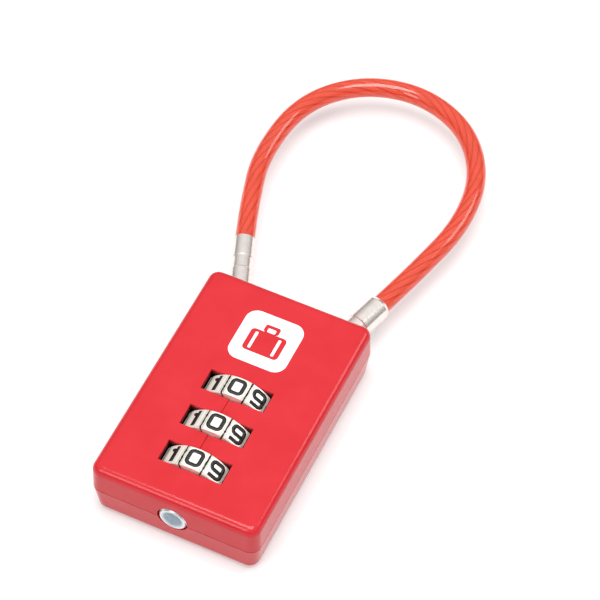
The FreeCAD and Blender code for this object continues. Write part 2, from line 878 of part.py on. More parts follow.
def detent_comb():
    """A strip on the floor with a finger for each sleeve, standing up to click in its notches."""
    z0, z1 = casing_wall, casing_wall + comb_thickness
    first, last = bulkhead_ys[0] - bulkhead_thickness, bulkhead_ys[-1] + bulkhead_thickness
    strip = box(comb_finger_x, last, z0, comb_outer_x, first, z1)
    pieces = [strip]
    offset = dial_width / 2 + detent_ring_gap + (detent_ring_width - comb_finger_width) / 2
    for y in dial_ys:
        y0, y1 = y + offset, y + offset + comb_finger_width
        pieces.append(box(comb_finger_x, y0, z0, comb_finger_x + comb_thickness, y1, dial_axis_height + comb_finger_rise))
        tip = detent_ring_radius - detent_depth + running
        h = comb_nub_half_height
        corners = [
            Vector(comb_finger_x + 0.1, y0, dial_axis_height - h),
            Vector(tip, y0, dial_axis_height),
            Vector(comb_finger_x + 0.1, y0, dial_axis_height + h),
        ]
        pieces.append(Part.Face(Part.makePolygon(corners + corners[:1])).extrude(Vector(0, y1 - y0, 0)))
    holes = [Part.makeCylinder(comb_hole_radius, 4, Vector(x, y, 0)) for x, y in comb_holes()]
    return cut(fuse(pieces), holes)


def main():
    parts = {
        "rear_shell": rear_shell(),
        "front_shell": front_shell(),
        "shell_screws": shell_screws(),
        "spindle": spindle(),
        "release_button": release_button(),
        "retaining_clip": retaining_clip(),
        "spindle_spring": spindle_spring(),
        "guide_plate": guide_plate(),
        "latch_plate": latch_plate(),
        "latch_spring": latch_spring(),
        "release_ferrule": release_ferrule(),
        "fixed_ferrule": fixed_ferrule(),
        "ejector": ejector(),
        "ejector_spring": ejector_spring(),
        "detent_comb": detent_comb(),
        "cable_sheath": cable_sheath(),
        "cable_core": cable_core(),
    }
    for number, y in enumerate(dial_ys, start=1):
        parts["dial_%d" % number] = dial(y)
        parts["code_sleeve_%d" % number] = code_sleeve(y)
    os.makedirs("parts", exist_ok=True)
    for name, shape in parts.items():
        shape.exportStep("parts/%s.step" % name)
        print("%-16s solids %d valid %s volume %.2f" % (name, len(shape.Solids), shape.isValid(), shape.Volume))
    print("button travel %.2f, latch travel %.2f, ramp %.3f" % (button_travel, latch_travel, ramp))
    print("release direction", math.sin(release_axis.angle), math.cos(release_axis.angle))


main()
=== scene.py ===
# %% [markdown]
# # A cable luggage lock
# The lock's working parts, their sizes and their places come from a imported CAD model.
# This lesson gives them their looks: red enamel, nickel dials with black figures,
# a steel strand inside clear red vinyl, and a soft white studio.

# %% Load the frame
import math

import bpy
import bmesh
from mathutils import Matrix, Vector


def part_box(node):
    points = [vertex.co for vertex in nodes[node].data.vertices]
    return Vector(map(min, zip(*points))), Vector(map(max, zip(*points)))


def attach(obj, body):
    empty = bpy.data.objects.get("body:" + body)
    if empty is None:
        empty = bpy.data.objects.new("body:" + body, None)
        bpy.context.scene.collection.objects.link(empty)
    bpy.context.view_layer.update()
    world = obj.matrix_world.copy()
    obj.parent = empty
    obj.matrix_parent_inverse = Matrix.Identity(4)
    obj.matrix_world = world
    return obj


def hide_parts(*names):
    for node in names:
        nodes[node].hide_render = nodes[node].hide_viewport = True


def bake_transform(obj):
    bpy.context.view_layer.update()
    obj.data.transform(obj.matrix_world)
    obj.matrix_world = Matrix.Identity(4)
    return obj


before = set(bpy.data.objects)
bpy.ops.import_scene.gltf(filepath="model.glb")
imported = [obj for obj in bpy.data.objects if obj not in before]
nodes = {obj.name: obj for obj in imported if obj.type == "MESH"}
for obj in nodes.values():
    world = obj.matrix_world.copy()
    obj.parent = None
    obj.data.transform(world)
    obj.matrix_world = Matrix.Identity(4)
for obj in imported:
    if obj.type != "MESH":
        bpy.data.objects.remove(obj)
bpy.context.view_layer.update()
scene = bpy.context.scene
MM = 0.001

# %% [markdown]
# ## Sizes that the looks need
# The casing's box gives its length, width and thickness. The dials' boxes give their
# middles and radius. Only what the CAD model can't say is written here as a number.

# %% Sizes from the frame
casing_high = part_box("front_shell")[1]
face_height = casing_high.z
casing_half_width = casing_high.x
casing_half_length = casing_high.y
dial_names = ["dial_1", "dial_2", "dial_3"]
dial_boxes = [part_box(name) for name in dial_names]
dial_middles = [(low + high) / 2 for low, high in dial_boxes]
flat_radius = (dial_boxes[0][1].z - dial_boxes[0][0].z) / 2
parting_height = 7.1 * MM
print("dial flats at radius, mm", round(flat_radius / MM, 3))
print("front face at height, mm", round(face_height / MM, 2))

# %% [markdown]
# ## The camera
# A long lens from the lower right, looking down at the lock as it lies on its back.
# Its place is an aim point, two angles and a distance, which are easier to adjust than
# three coordinates. A long lens keeps the casing's edges nearly parallel.

# %% Camera
aim = Vector((-0.50, 30.56, 7.0)) * MM
camera_distance = 543.5 * MM
camera_turn = math.radians(24.45)
camera_elevation = math.radians(53.53)
camera_roll = math.radians(1.06)

camera_data = bpy.data.cameras.new("camera")
camera_data.lens = 164.63
camera_data.sensor_width = 36
camera = bpy.data.objects.new("camera", camera_data)
scene.collection.objects.link(camera)
towards = Vector(
    (
        math.sin(camera_turn) * math.cos(camera_elevation),
        -math.cos(camera_turn) * math.cos(camera_elevation),
        math.sin(camera_elevation),
    )
)
camera.location = aim + towards * camera_distance
camera.rotation_mode = "QUATERNION"
facing = (-towards).to_track_quat("-Z", "Y").to_matrix()
camera.rotation_quaternion = (facing @ Matrix.Rotation(camera_roll, 3, "Z")).to_quaternion()
scene.camera = camera
print("camera at, mm", [round(c / MM, 1) for c in camera.location])

# %% [markdown]
# ## The cable's route
# A stiff steel cable springs into a bulb between its two ferrules, level with the
# casing's parting line. A quadratic NURBS spline through listed control points
# bends as evenly as the real cable does. The points are the same as the CAD model's.

# %% Route of the cable
route_points = [
    (-14.69, 33.40),
    (-17.20, 39.94),
    (-20.40, 49.10),
    (-23.60, 60.50),
    (-22.30, 76.30),
    (-13.80, 86.60),
    (-1.10, 90.20),
    (11.30, 85.90),
    (19.30, 75.30),
    (20.90, 61.50),
    (17.60, 47.50),
    (14.63, 36.97),
    (12.70, 30.25),
]
sheath_radius = 2.0 * MM
core_radius = 1.2 * MM


def nurbs_route(name, points, smoothness):
    """A curve object whose one spline follows control points at the parting height."""
    curve = bpy.data.curves.new(name, "CURVE")
    curve.dimensions = "3D"
    spline = curve.splines.new("NURBS")
    spline.points.add(len(points) - 1)
    for control, (x, y) in zip(spline.points, points):
        control.co = (x * MM, y * MM, parting_height, 1)
    spline.order_u = 3
    spline.use_endpoint_u = True
    spline.resolution_u = smoothness
    holder = bpy.data.objects.new(name, curve)
    scene.collection.objects.link(holder)
    return holder


def line_of(curve_object):
    """The points that a curve with no bevel passes through, in metres."""
    bpy.context.view_layer.update()
    evaluated = curve_object.evaluated_get(bpy.context.evaluated_depsgraph_get())
    mesh = bpy.data.meshes.new_from_object(evaluated)
    points = [vertex.co.copy() for vertex in mesh.vertices]
    bpy.data.meshes.remove(mesh)
    return points


route = nurbs_route("cable_route", route_points, 24)
route_line = line_of(route)

# %% [markdown]
# ## Small helpers for node trees
# Geometry and shader trees are built from the same three moves: make a tree, add a
# node with its settings, and join two sockets.


# %% Node helpers
def add_node(tree, kind, settings=None, **inputs):
    """Adds a node, sets its properties, and sets or links its inputs by name."""
    node = tree.nodes.new(kind)
    for key, value in (settings or {}).items():
        setattr(node, key, value)
    for key, value in inputs.items():
        name = key.replace("_", " ")
        socket = node.inputs[name]
        if isinstance(value, bpy.types.NodeSocket):
            tree.links.new(value, socket)
        else:
            socket.default_value = value
    return node


def math_node(tree, operation, *values):
    """A Math node's output. Each value is a number or a socket."""
    node = tree.nodes.new("ShaderNodeMath")
    node.operation = operation
    for socket, value in zip(node.inputs, values):
        if isinstance(value, bpy.types.NodeSocket):
            tree.links.new(value, socket)
        else:
            socket.default_value = value
    return node.outputs[0]


def geometry_tree(name, sizes):
    """A geometry tree with named float inputs and a material input."""
    tree = bpy.data.node_groups.new(name, "GeometryNodeTree")
    face = tree.interface
    face.new_socket("Geometry", in_out="INPUT", socket_type="NodeSocketGeometry")
    for size in sizes:
        face.new_socket(size, in_out="INPUT", socket_type="NodeSocketFloat")
    face.new_socket("Material", in_out="INPUT", socket_type="NodeSocketMaterial")
    face.new_socket("Geometry", in_out="OUTPUT", socket_type="NodeSocketGeometry")
    start = tree.nodes.new("NodeGroupInput")
    end = tree.nodes.new("NodeGroupOutput")
    return tree, start, end


def finish_tree(tree, start, end, geometry):
    realized = add_node(tree, "GeometryNodeRealizeInstances", Geometry=geometry)
    dressed = add_node(tree, "GeometryNodeSetMaterial", Geometry=realized.outputs[0])
    tree.links.new(start.outputs["Material"], dressed.inputs["Material"])
    tree.links.new(dressed.outputs[0], end.inputs[0])


def grown_mesh(source, tree, values, material, name):
    """Runs a geometry tree on a curve object and returns the result as a plain mesh object."""
    modifier = source.modifiers.new("grow", "NODES")
    modifier.node_group = tree
    for item in tree.interface.items_tree:
        if item.in_out != "INPUT":
            continue
        if item.name in values:
            modifier[item.identifier] = float(values[item.name])
        if item.name == "Material":
            modifier[item.identifier] = material
    bpy.context.view_layer.update()
    evaluated = source.evaluated_get(bpy.context.evaluated_depsgraph_get())
    mesh = bpy.data.meshes.new_from_object(evaluated)
    mesh.name = name
    source.modifiers.remove(modifier)
    piece = bpy.data.objects.new(name, mesh)
    scene.collection.objects.link(piece)
    return piece


def new_material(name):
    """A material with a Principled shader, its tree, and that shader."""
    material = bpy.data.materials.new(name)
    material.use_nodes = True
    tree = material.node_tree
    shader = tree.nodes["Principled BSDF"]
    return material, tree, shader


def multiply(tree, first, second):
    return math_node(tree, "MULTIPLY", first, second)


def object_point(tree, scale=(1, 1, 1)):
    """Object coordinates in millimetres, stretched by scale."""
    source = tree.nodes.new("ShaderNodeTexCoord")
    stretch = add_node(tree, "ShaderNodeMapping", Vector=source.outputs["Object"])
    stretch.inputs["Scale"].default_value = [1000 * s for s in scale]
    return stretch.outputs[0]


def noise(tree, point, scale, detail=3.0, roughness=0.5):
    node = add_node(tree, "ShaderNodeTexNoise", Vector=point, Scale=scale)
    node.inputs["Detail"].default_value = detail
    node.inputs["Roughness"].default_value = roughness
    return node.outputs[0]


def spread(tree, value, low, high, start=0.0, end=1.0):
    """Maps a value from a range onto another."""
    node = add_node(tree, "ShaderNodeMapRange", Value=value)
    node.inputs["From Min"].default_value = start
    node.inputs["From Max"].default_value = end
    node.inputs["To Min"].default_value = low
    node.inputs["To Max"].default_value = high
    return node.outputs[0]


def blend_colours(tree, share, first, second):
    node = add_node(tree, "ShaderNodeMix", {"data_type": "RGBA"})
    for index, value in ((0, share), (6, first), (7, second)):
        socket = node.inputs[index]
        if isinstance(value, bpy.types.NodeSocket):
            tree.links.new(value, socket)
        else:
            socket.default_value = value
    return node.outputs[2]


def bump(tree, shader, height, strength, distance):
    """Adds a bump of a height map. Distance is in millimetres."""
    node = add_node(tree, "ShaderNodeBump", Height=height, Strength=strength)
    node.inputs["Distance"].default_value = distance * MM
    tree.links.new(node.outputs[0], shader.inputs["Normal"])
    return node


def colour(red, green, blue):
    """A linear colour from the 0 to 255 values that a colour picker shows."""

    def linear(value):
        share = value / 255
        return share / 12.92 if share <= 0.04045 else ((share + 0.055) / 1.055) ** 2.4

    return (linear(red), linear(green), linear(blue), 1.0)


# %% [markdown]
# ## Red enamel
# The shells are zinc castings sprayed with glossy enamel. Paint flows into a faint
# orange peel and varies a little in depth. Inside the walls the red is matt and darkened
# to near black as painted shade, and object coordinates tell the inside from the outside.


# %% Red enamel
# Where the painted shade inside the casing starts: in from each side, down the windows' walls, and
# up from the back.
inside_reach = 2.0  # mm in from each side
inside_depth_front = 0.6  # mm down the windows' walls
inside_depth_rear = 0.3


def inside_casing(tree):
    """1 on surfaces inside the casing's walls, 0 on its outside."""
    point = add_node(tree, "ShaderNodeSeparateXYZ", Vector=object_point(tree))
    aside = math_node(tree, "ABSOLUTE", point.outputs[0])
    along = math_node(tree, "ABSOLUTE", point.outputs[1])
    within_x = math_node(tree, "LESS_THAN", aside, casing_half_width / MM - inside_reach)
    within_y = math_node(tree, "LESS_THAN", along, casing_half_length / MM - inside_reach)
    below = math_node(tree, "LESS_THAN", point.outputs[2], face_height / MM - inside_depth_front)
    above = math_node(tree, "GREATER_THAN", point.outputs[2], inside_depth_rear)
    return multiply(tree, multiply(tree, within_x, within_y), multiply(tree, below, above))


def red_enamel():
    material, tree, shader = new_material("red_enamel")
    point = object_point(tree)
    cloud = noise(tree, point, 0.18, 2.0)
    share = spread(tree, cloud, 0, 1, 0.3, 0.7)
    tint = blend_colours(tree, share, colour(197, 38, 45), colour(202, 43, 51))
    # Painted shade: the casing's inside is a dark red, near black, much darker than its paint.
    inside_shade = blend_colours(tree, noise(tree, point, 1.5, 4.0), colour(66, 5, 6), colour(92, 8, 9))
    inside = inside_casing(tree)
    tree.links.new(blend_colours(tree, inside, tint, inside_shade), shader.inputs["Base Color"])
    smear = spread(tree, noise(tree, point, 0.6, 4.0), 0.1, 0.17)
    roughness = math_node(tree, "MAXIMUM", smear, multiply(tree, inside, 0.7))
    tree.links.new(roughness, shader.inputs["Roughness"])
    shader.inputs["Specular IOR Level"].default_value = 0.3
    bump(tree, shader, noise(tree, point, 2.2, 1.0), 0.05, 0.1)
    return material


# %% [markdown]
# ## Plated and machined metals
# Nickel, zinc plate, brass and steel are one recipe with other numbers: a metal whose
# roughness and colour wander a little, with fine tool marks that run one way.


# %% Metals
def plated_metal(
    name, light, dark, roughness, grain, grain_scale=8.0, grain_depth=0.02, metallic=1.0
):
    """Light and dark are what a colour picker shows. Grain stretches the tool marks."""
    material, tree, shader = new_material(name)
    point = object_point(tree)
    marks = noise(tree, object_point(tree, grain), grain_scale, 3.0, 0.6)
    cloud = noise(tree, point, 0.7, 3.0)
    tint = blend_colours(tree, cloud, colour(*light), colour(*dark))
    tree.links.new(tint, shader.inputs["Base Color"])
    shader.inputs["Metallic"].default_value = metallic
    polish = spread(tree, marks, roughness * 0.75, roughness * 1.35, 0.3, 0.7)
    tree.links.new(polish, shader.inputs["Roughness"])
    bump(tree, shader, marks, 0.4, grain_depth)
    return material


def dial_nickel():
    """Satin nickel brushed along the axis. It turns greyer towards the grooves between figures,
    and the middle groove is black as painted shade.
    """
    material, tree, shader = new_material("dial_nickel")
    point = add_node(tree, "ShaderNodeSeparateXYZ", Vector=object_point(tree))
    above = math_node(tree, "SUBTRACT", point.outputs[2], dial_middles[0].z / MM)
    angle = math_node(tree, "ARCTAN2", point.outputs[0], above)
    turns = math_node(tree, "DIVIDE", angle, 2 * math.pi / 10)
    share = math_node(tree, "FRACT", math_node(tree, "ADD", turns, 10.0))
    off_groove = math_node(tree, "ABSOLUTE", math_node(tree, "SUBTRACT", share, 0.5))
    marks = noise(tree, object_point(tree, (1, 0.12, 1)), 5.0, 3.0, 0.6)
    patchy = spread(tree, noise(tree, object_point(tree), 1.3, 3.0), 0.022, 0.048, 0.35, 0.65)
    # Painted shade: the middle groove between figures is black, in a patchy width.
    groove_shade = math_node(tree, "LESS_THAN", off_groove, patchy)
    # Towards the grooves between figures the nickel turns darker grey.
    near_groove = spread(tree, off_groove, 0.55, 0.0, 0.03, 0.17)
    clean = blend_colours(tree, marks, colour(255, 252, 244), colour(246, 241, 230))
    greyed_near_groove = blend_colours(tree, multiply(tree, near_groove, marks), clean, colour(120, 116, 108))
    tint = blend_colours(tree, groove_shade, greyed_near_groove, colour(14, 14, 13))
    tree.links.new(tint, shader.inputs["Base Color"])
    tree.links.new(spread(tree, groove_shade, 0.35, 0.0), shader.inputs["Metallic"])
    tree.links.new(spread(tree, marks, 0.26, 0.42, 0.3, 0.7), shader.inputs["Roughness"])
    bump(tree, shader, marks, 0.4, 0.015)
    return material


turning_pitch = 0.36  # mm between the lathe tool's rings
dish_rim = (1.7, 2.35)  # mm from the button's axis, where the dish ends


def zinc_button():
    """Bright zinc plate over the rings that a lathe tool left, darker down in the dish; the
    lighter rim is a painted highlight.
    """
    material, tree, shader = new_material("bright_zinc")
    point = add_node(tree, "ShaderNodeSeparateXYZ", Vector=object_point(tree))
    low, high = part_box("release_button")
    above = math_node(tree, "SUBTRACT", point.outputs[2], (low.z + high.z) / 2 / MM)
    aside = point.outputs[0]
    squares = math_node(tree, "ADD", multiply(tree, aside, aside), multiply(tree, above, above))
    radius = math_node(tree, "SQRT", squares)
    rings = math_node(tree, "SINE", multiply(tree, radius, 2 * math.pi / turning_pitch))
    rim_highlight = spread(tree, radius, 0.0, 1.0, *dish_rim)
    cloud = noise(tree, object_point(tree), 1.6, 4.0)
    dish = blend_colours(tree, cloud, colour(106, 129, 142), colour(164, 182, 191))
    # Painted highlight: the rim is lighter than the dish.
    tint = blend_colours(tree, rim_highlight, dish, colour(222, 228, 232))
    tree.links.new(tint, shader.inputs["Base Color"])
    shader.inputs["Metallic"].default_value = 0.8
    tree.links.new(spread(tree, cloud, 0.22, 0.4), shader.inputs["Roughness"])
    bump(tree, shader, math_node(tree, "ADD", rings, cloud), 0.5, 0.03)
    return material


enamel = red_enamel()
nickel = dial_nickel()
ferrule_nickel = plated_metal(
    "ferrule_nickel", (246, 238, 232), (228, 219, 213), 0.2, (1, 1, 1), 2.0, 0.002, 0.75
)
bright_zinc = zinc_button()
turned_steel = plated_metal("turned_steel", (186, 186, 190), (150, 150, 156), 0.35, (1, 0.1, 1))
spring_steel = plated_metal(
    "spring_steel", (140, 140, 146), (96, 96, 102), 0.3, (0.3, 0.3, 1), 10.0, 0.01
)
brass = plated_metal("brass", (214, 178, 104), (176, 134, 66), 0.32, (1, 0.2, 1))
bronze = plated_metal("bronze", (190, 134, 84), (140, 92, 52), 0.35, (1, 0.2, 1))

# %% [markdown]
# ## Clear red vinyl and the steel strand
# The sheath is soft clear vinyl, dyed red. It lets light through to the strand, which
# a round sheath magnifies like a lens, so the strand is real geometry inside it.


# %% Cable materials
def red_vinyl():
    material, tree, shader = new_material("red_vinyl")
    point = object_point(tree)
    cloud = noise(tree, point, 0.35, 3.0)
    tint = blend_colours(tree, cloud, colour(244, 108, 84), colour(240, 94, 72))
    tree.links.new(tint, shader.inputs["Base Color"])
    handling = spread(tree, noise(tree, point, 1.2, 3.0), 0.06, 0.14)
    tree.links.new(handling, shader.inputs["Roughness"])
    shader.inputs["Transmission Weight"].default_value = 0.72
    shader.inputs["IOR"].default_value = 1.54
    # Painted light: the sheath glows faintly red-orange though it is no lamp.
    shader.inputs["Emission Color"].default_value = colour(255, 84, 40)
    shader.inputs["Emission Strength"].default_value = 0.12
    bump(tree, shader, noise(tree, point, 1.4, 2.0), 0.1, 0.05)
    return material


ropes_around = 6
wires_around = 42
wire_slant = 1.3  # turns of wire lost per millimetre along the cable


def strand_steel():
    """Steel wires laid side by side round each strand, from the piece's own attributes. Lighter
    wire crests with darker lines between them, and dark red grooves between the ropes, are painted
    light and shade.
    """
    material, tree, shader = new_material("strand_steel")
    around = add_node(tree, "ShaderNodeAttribute", {"attribute_name": "around"}).outputs["Fac"]
    along = add_node(tree, "ShaderNodeAttribute", {"attribute_name": "along"}).outputs["Fac"]
    turns = multiply(tree, around, wires_around)
    slant = math_node(tree, "SUBTRACT", turns, multiply(tree, along, wire_slant))
    wires = math_node(tree, "SINE", multiply(tree, slant, 2 * math.pi))
    across = math_node(tree, "FRACT", multiply(tree, around, ropes_around))
    off_middle = math_node(tree, "ABSOLUTE", math_node(tree, "SUBTRACT", across, 0.5))
    # Painted shade: the grooves between the ropes take a dark red.
    crown = spread(tree, off_middle, 1.0, 0.0, 0.2, 0.46)
    light, dark = colour(255, 236, 224), colour(246, 176, 146)
    # Painted light and shade: each wire is lighter on its crest and darker beside it.
    shaded_wires = blend_colours(tree, spread(tree, wires, 0, 1, -1, 1), dark, light)
    tint = blend_colours(tree, crown, colour(198, 76, 48), shaded_wires)
    tree.links.new(tint, shader.inputs["Base Color"])
    shader.inputs["Metallic"].default_value = 0.1
    shader.inputs["Roughness"].default_value = 0.35
    bump(tree, shader, wires, 0.6, 0.05)
    return material


vinyl = red_vinyl()
strand = strand_steel()

# %% [markdown]
# ## The sheath and the strand
# Both follow the route. The sheath is a plain round tube. The strand is six ropes of
# wire laid round a seventh, so its section is six lobes, and the section turns as it
# goes along, once every lay length. One tree makes both: a sheath has no lobes.


# %% Laid tube tree
def stored_value(tree, geometry, name, value):
    """Keeps a value at each point of a curve, under a name that a material can read."""
    settings = {"data_type": "FLOAT", "domain": "POINT"}
    node = add_node(tree, "GeometryNodeStoreNamedAttribute", settings, Geometry=geometry)
    node.inputs["Name"].default_value = name
    tree.links.new(value, node.inputs["Value"])
    return node.outputs[0]


def lobed_position(tree, factor, depth):
    """Where a circle's point goes when the circle becomes six ropes side by side."""
    lobe = math_node(tree, "MODULO", multiply(tree, factor, float(ropes_around)), 1.0)
    off = multiply(tree, math_node(tree, "SUBTRACT", lobe, 0.5), 2 * math.pi / ropes_around)
    sine = multiply(tree, math_node(tree, "SINE", off), 2.0)
    left = math_node(tree, "SUBTRACT", 1.0, multiply(tree, sine, sine))
    rise = math_node(tree, "SQRT", math_node(tree, "MAXIMUM", left, 0.0))
    reach = math_node(tree, "ADD", multiply(tree, math_node(tree, "COSINE", off), 2.0), rise)
    short = math_node(tree, "SUBTRACT", 1.0, math_node(tree, "DIVIDE", reach, 3.0))
    scaled = add_node(tree, "ShaderNodeVectorMath", {"operation": "SCALE"})
    tree.links.new(tree.nodes.new("GeometryNodeInputPosition").outputs[0], scaled.inputs[0])
    keep = math_node(tree, "SUBTRACT", 1.0, multiply(tree, short, depth))
    tree.links.new(keep, scaled.inputs["Scale"])
    return scaled.outputs[0]


def laid_tube_tree():
    sizes = ["Radius", "Lobe Depth", "Lay Length", "Around", "Step"]
    tree, start, end = geometry_tree("laid_tube", sizes)
    route_in = start.outputs["Geometry"]
    even = add_node(tree, "GeometryNodeResampleCurve", {"mode": "LENGTH"}, Curve=route_in)
    tree.links.new(start.outputs["Step"], even.inputs["Length"])
    length = add_node(tree, "GeometryNodeSplineParameter").outputs["Length"]
    turns = math_node(tree, "DIVIDE", length, start.outputs["Lay Length"])
    tilt = multiply(tree, turns, 2 * math.pi)
    tilted = add_node(tree, "GeometryNodeSetCurveTilt", Curve=even.outputs[0], Tilt=tilt)
    line = stored_value(tree, tilted.outputs[0], "along", multiply(tree, length, 1 / MM))

    count = tree.nodes.new("FunctionNodeFloatToInt")
    tree.links.new(start.outputs["Around"], count.inputs[0])
    ring = tree.nodes.new("GeometryNodeCurvePrimitiveCircle")
    tree.links.new(count.outputs[0], ring.inputs["Resolution"])
    tree.links.new(start.outputs["Radius"], ring.inputs["Radius"])
    factor = add_node(tree, "GeometryNodeSplineParameter").outputs["Factor"]
    spot = lobed_position(tree, factor, start.outputs["Lobe Depth"])
    section = add_node(tree, "GeometryNodeSetPosition", Geometry=ring.outputs[0], Position=spot)
    outline = stored_value(tree, section.outputs[0], "around", factor)

    tube = add_node(tree, "GeometryNodeCurveToMesh", Curve=line)
    tree.links.new(outline, tube.inputs["Profile Curve"])
    tube.inputs["Fill Caps"].default_value = True
    finish_tree(tree, start, end, tube.outputs[0])
    return tree


laid_tube = laid_tube_tree()
sheath_sizes = {
    "Radius": sheath_radius,
    "Lobe Depth": 0,
    "Lay Length": 1.0,
    "Around": 40,
    "Step": 0.5 * MM,
}
strand_sizes = {
    "Radius": core_radius,
    "Lobe Depth": 0.8,
    "Lay Length": 26 * MM,
    "Around": 60,
    "Step": 0.25 * MM,
}
sheath = grown_mesh(route, laid_tube, sheath_sizes, vinyl, "vinyl_sheath")
core = grown_mesh(route, laid_tube, strand_sizes, strand, "steel_strand")
bpy.data.objects.remove(route)
for piece in (sheath, core):
    print(piece.name, "faces", len(piece.data.polygons))

# %% [markdown]
# ## Figures on the dials
# Each figure is engraved in a flat of the dial and filled with black paint. Straight
# strokes with rounded corners are how a small engraving cutter writes. A tree rounds the
# corners and sweeps a flat ribbon along each stroke, and the ribbon lies flush with the flat.

# %% Strokes of the figures, in widths and heights of a figure
h = 0.5
tall = 0.63  # an upright that ends free reaches as far as a rounded corner does
figure_strokes = {
    0: [([(-h, -h), (h, -h), (h, h), (-h, h)], True)],
    1: [
        ([(-0.34, 0.26), (0.02, tall), (0.02, -tall)], False),
        ([(0.12, tall), (0.12, -tall)], False),
    ],
    2: [([(-h, h), (h, h), (h, 0.05), (-h, -h), (h, -h)], False)],
    3: [([(-h, h), (h, h), (h, -h), (-h, -h)], False), ([(-0.2, 0), (h, 0)], False)],
    4: [([(0.2, -tall), (0.2, h), (-h, -0.2), (h, -0.2)], False)],
    5: [([(h, h), (-h, h), (-h, 0.04), (h, 0.04), (h, -h), (-h, -h)], False)],
    6: [([(h, h), (-h, h), (-h, -h), (h, -h), (h, 0.04), (-h, 0.04)], False)],
    7: [([(-h, h), (h, h), (-0.12, -tall)], False)],
    8: [([(-h, -h), (h, -h), (h, h), (-h, h)], True), ([(-h, 0), (h, 0)], False)],
    9: [([(-h, -h), (h, -h), (h, h), (-h, h), (-h, -0.04), (h, -0.04)], False)],
}
figure_width = 2.5 * MM
figure_height = 2.95 * MM
stroke_width = 0.8 * MM
stroke_corner = 0.7 * MM
paint_depth = 0.06 * MM
paint_proud = 0.012 * MM


# %% Figure tree
def stroke_tree():
    tree, start, end = geometry_tree("engraved_stroke", ["Stroke Width", "Depth", "Corner"])
    rounded = add_node(tree, "GeometryNodeFilletCurve", Curve=start.outputs["Geometry"])
    for key in ("mode", "fillet_type"):
        if hasattr(rounded, key):
            setattr(rounded, key, "POLY")
    if "Mode" in rounded.inputs:
        rounded.inputs["Mode"].default_value = "Poly"
    rounded.inputs["Count"].default_value = 6
    rounded.inputs["Limit Radius"].default_value = True
    tree.links.new(start.outputs["Corner"], rounded.inputs["Radius"])
    round_line = rounded.outputs[0]
    upright = add_node(tree, "GeometryNodeSetCurveNormal", {"mode": "Z_UP"}, Curve=round_line)
    bar = tree.nodes.new("GeometryNodeCurvePrimitiveQuadrilateral")
    tree.links.new(start.outputs["Stroke Width"], bar.inputs["Width"])
    tree.links.new(start.outputs["Depth"], bar.inputs["Height"])
    ribbon = add_node(tree, "GeometryNodeCurveToMesh", Curve=upright.outputs[0])
    tree.links.new(bar.outputs[0], ribbon.inputs["Profile Curve"])
    ribbon.inputs["Fill Caps"].default_value = True
    finish_tree(tree, start, end, ribbon.outputs[0])
    return tree


def black_paint():
    material, tree, shader = new_material("black_paint")
    point = object_point(tree)
    patchy = noise(tree, point, 3.0, 3.0)
    tint = blend_colours(tree, patchy, colour(16, 17, 16), colour(42, 42, 40))
    tree.links.new(tint, shader.inputs["Base Color"])
    tree.links.new(spread(tree, patchy, 0.45, 0.7), shader.inputs["Roughness"])
    bump(tree, shader, patchy, 0.2, 0.02)
    return material


def figure_curve(figure):
    """The strokes of one figure as a flat curve round the origin."""
    curve = bpy.data.curves.new("figure_%d" % figure, "CURVE")
    curve.dimensions = "3D"
    for corners, closed in figure_strokes[figure]:
        spline = curve.splines.new("POLY")
        spline.points.add(len(corners) - 1)
        for point, (x, y) in zip(spline.points, corners):
            point.co = (x * figure_width, y * figure_height, 0, 1)
        spline.use_cyclic_u = closed
    holder = bpy.data.objects.new(curve.name, curve)
    scene.collection.objects.link(holder)
    return holder


strokes = stroke_tree()
paint = black_paint()
stroke_sizes = {"Stroke Width": stroke_width, "Depth": paint_depth, "Corner": stroke_corner}
figure_meshes = []
for figure in range(10):
    drawn = figure_curve(figure)
    flat = grown_mesh(drawn, strokes, stroke_sizes, paint, "flat_figure_%d" % figure)
    figure_meshes.append(flat.data)
    bpy.data.objects.remove(drawn)
    bpy.data.objects.remove(flat)
print("figures drawn", len(figure_meshes), "faces in 8:", len(figure_meshes[8].polygons))


# %% [markdown]
# The figures go round each dial with 0 on top and 1 on its left. Every dial has its own
# object, so that it turns with its dial.


# %% Figures round the dials
def join_meshes(name, placed):
    """One mesh from (mesh, matrix) pairs that share a material."""
    builder = bmesh.new()
    for mesh, matrix in placed:
        copy = mesh.copy()
        copy.transform(matrix)
        builder.from_mesh(copy)
        bpy.data.meshes.remove(copy)
    joined = bpy.data.meshes.new(name)
    builder.to_mesh(joined)
    builder.free()
    joined.materials.append(placed[0][0].materials[0])
    piece = bpy.data.objects.new(name, joined)
    scene.collection.objects.link(piece)
    return piece


dial_figures = []
for number, middle in enumerate(dial_middles, start=1):
    onto_axis = Matrix.Translation(middle)
    onto_flat = Matrix.Translation((0, 0, flat_radius + paint_proud - paint_depth / 2))
    places = []
    for figure, mesh in enumerate(figure_meshes):
        turn = Matrix.Rotation(-math.radians(36 * figure), 4, "Y")
        places.append((mesh, onto_axis @ turn @ onto_flat))
    dial_figures.append(join_meshes("dial_figures_%d" % number, places))
print("figure pieces", [piece.name for piece in dial_figures])

# %% [markdown]
# ## The printed emblem
# A pad print in white ink sits between the dials and the cable. It is a plain travel
# sign: a rounded square with a suitcase left out of it, so the enamel shows through.
# A flat curve fills between its outlines, which makes such a stencil in one go.


# %% Emblem
emblem_size = 12.2 * MM
emblem_middle = Vector((-0.1, 14.2)) * MM
ink_thickness = 0.012 * MM


